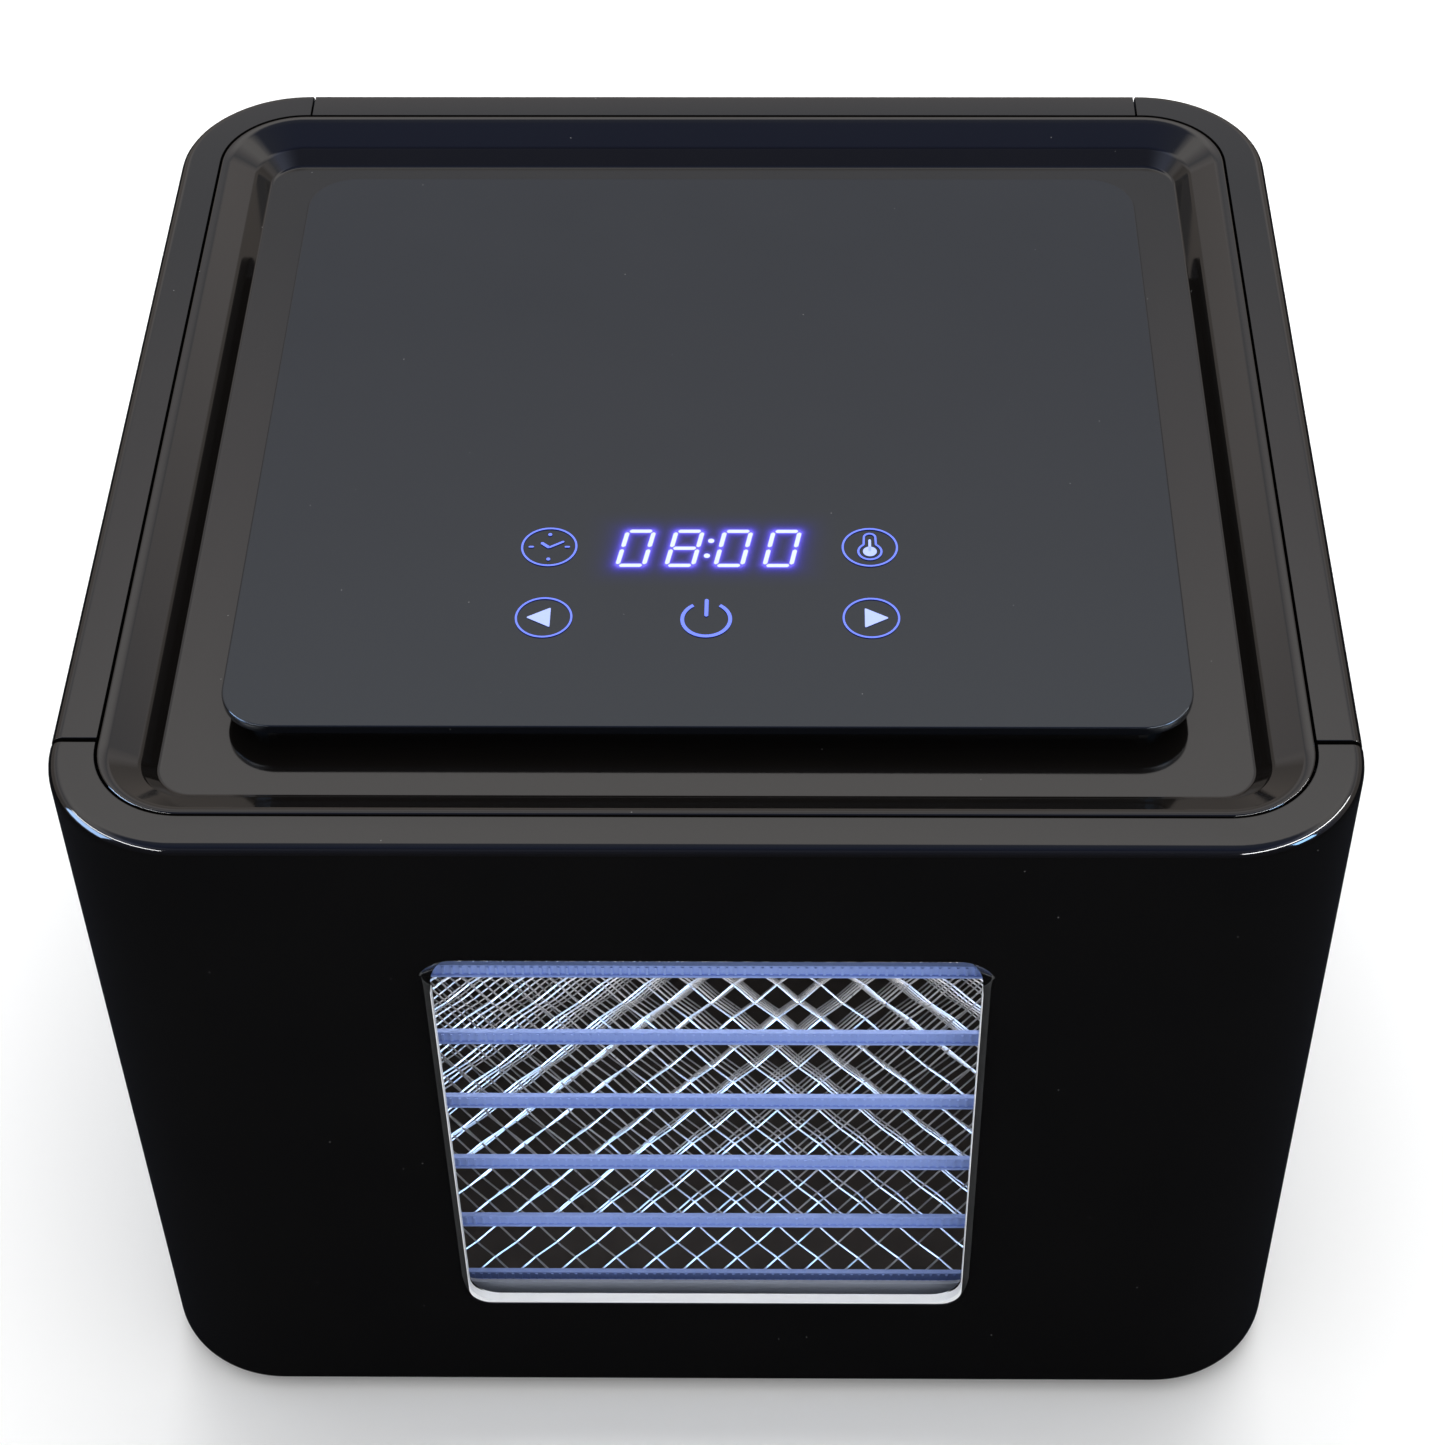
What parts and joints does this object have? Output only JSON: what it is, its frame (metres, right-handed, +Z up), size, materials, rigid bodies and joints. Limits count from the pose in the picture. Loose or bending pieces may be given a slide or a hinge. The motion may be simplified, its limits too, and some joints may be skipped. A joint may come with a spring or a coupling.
{
  "type": "food dehydrator",
  "caption": "Square counter-top food dehydrator: glossy black casing, hinged window door, slide-in mesh trays, drip pan, rear fan and heater, touch panel in a dished top.",
  "frame": {"origin": "middle of the footprint, at the underside of the feet", "axes": "+Z up, the door and window face -Y, +X to the right seen from the front"},
  "size_m": [0.322, 0.31, 0.237],
  "materials": {
    "gloss_black": "high-gloss moulded plastic",
    "satin_black": "satin moulded plastic",
    "panel_glass": "smoked touch panel, polished, opaque from above",
    "clear_glass": "clear toughened pane",
    "steel": "bright stainless",
    "dark_steel": "dark coated steel",
    "rubber": "matt rubber",
    "silicone": "grey silicone",
    "board": "coated circuit board",
    "mica": "pressed mica",
    "nichrome": "oxidised resistance wire",
    "white_plastic": "white moulded plastic"
  },
  "bodies": {
    "casing": {"left_side_shell": "gloss_black", "right_side_shell": "gloss_black", "back_panel": "gloss_black", "top_cover": "gloss_black", "front_frame": "satin_black", "pedestal": "satin_black", "power_inlet": "satin_black", "control_glass": "panel_glass", "chamber_left_wall": "steel", "chamber_right_wall": "steel", "chamber_floor": "steel", "chamber_ceiling": "steel", "rear_bulkhead": "steel", "motor_bracket": "steel", "hinge_lower_pin": "steel", "hinge_upper_pin": "steel", "back_screw_low_left": "steel", "back_screw_low_right": "steel", "back_screw_high_left": "steel", "back_screw_high_right": "steel", "base_pan": "dark_steel", "hinge_lower_bracket": "dark_steel", "hinge_upper_bracket": "dark_steel", "catch_magnet": "dark_steel", "fan_motor": "dark_steel", "foot_front_left": "rubber", "foot_front_right": "rubber", "foot_rear_left": "rubber", "foot_rear_right": "rubber", "mains_loom": "rubber", "panel_lead": "rubber", "control_board": "board", "power_board": "board", "heater_frame": "mica", "heater_coil": "nichrome", "display_module": "white_plastic", "thermal_cutout": "white_plastic"},
    "door": {"door_shell": "gloss_black", "door_window": "clear_glass", "door_liner": "steel", "door_gasket": "silicone", "door_strike_plate": "steel", "hinge_lower_door_lug": "dark_steel", "hinge_upper_door_lug": "dark_steel"},
    "fan": {"fan_impeller": "satin_black", "fan_shaft": "steel"},
    "drip_tray": {"drip_tray": "steel"},
    "tray_1": {"tray_1": "steel"},
    "tray_2": {"tray_2": "steel"},
    "tray_3": {"tray_3": "steel"},
    "tray_4": {"tray_4": "steel"},
    "tray_5": {"tray_5": "steel"},
    "tray_6": {"tray_6": "steel"}
  },
  "joints": [
    {"name": "door_hinge", "type": "hinge", "parent": "casing", "child": "door", "pos_m": [-0.1585, -0.1215, 0.1215], "axis": [0, 0, -1], "range_deg": [0, 110]},
    {"name": "tray_1_slide", "type": "slide", "parent": "casing", "child": "tray_1", "axis": [0, -1, 0], "range_m": [0, 0.036]},
    {"name": "tray_2_slide", "type": "slide", "parent": "casing", "child": "tray_2", "axis": [0, -1, 0], "range_m": [0, 0.046]},
    {"name": "tray_3_slide", "type": "slide", "parent": "casing", "child": "tray_3", "axis": [0, -1, 0], "range_m": [0, 0.057]},
    {"name": "tray_4_slide", "type": "slide", "parent": "casing", "child": "tray_4", "axis": [0, -1, 0], "range_m": [0, 0.067]},
    {"name": "tray_5_slide", "type": "slide", "parent": "casing", "child": "tray_5", "axis": [0, -1, 0], "range_m": [0, 0.078]},
    {"name": "tray_6_slide", "type": "slide", "parent": "casing", "child": "tray_6", "axis": [0, -1, 0], "range_m": [0, 0.088]},
    {"name": "drip_tray_slide", "type": "slide", "parent": "casing", "child": "drip_tray", "axis": [0, -1, 0], "range_m": [0, 0.088]},
    {"name": "fan_spin", "type": "hinge", "parent": "casing", "child": "fan", "pos_m": [0, 0.1175, 0.1135], "axis": [0, 1, 0], "continuous": true}
  ],
  "couplings": [
    {"joint": "tray_1_slide", "follows": "door_hinge", "m_per_rad": 0.018},
    {"joint": "tray_2_slide", "follows": "door_hinge", "m_per_rad": 0.0234},
    {"joint": "tray_3_slide", "follows": "door_hinge", "m_per_rad": 0.0288},
    {"joint": "tray_4_slide", "follows": "door_hinge", "m_per_rad": 0.0342},
    {"joint": "tray_5_slide", "follows": "door_hinge", "m_per_rad": 0.0396},
    {"joint": "tray_6_slide", "follows": "door_hinge", "m_per_rad": 0.045},
    {"joint": "drip_tray_slide", "follows": "door_hinge", "m_per_rad": 0.045}
  ]
}
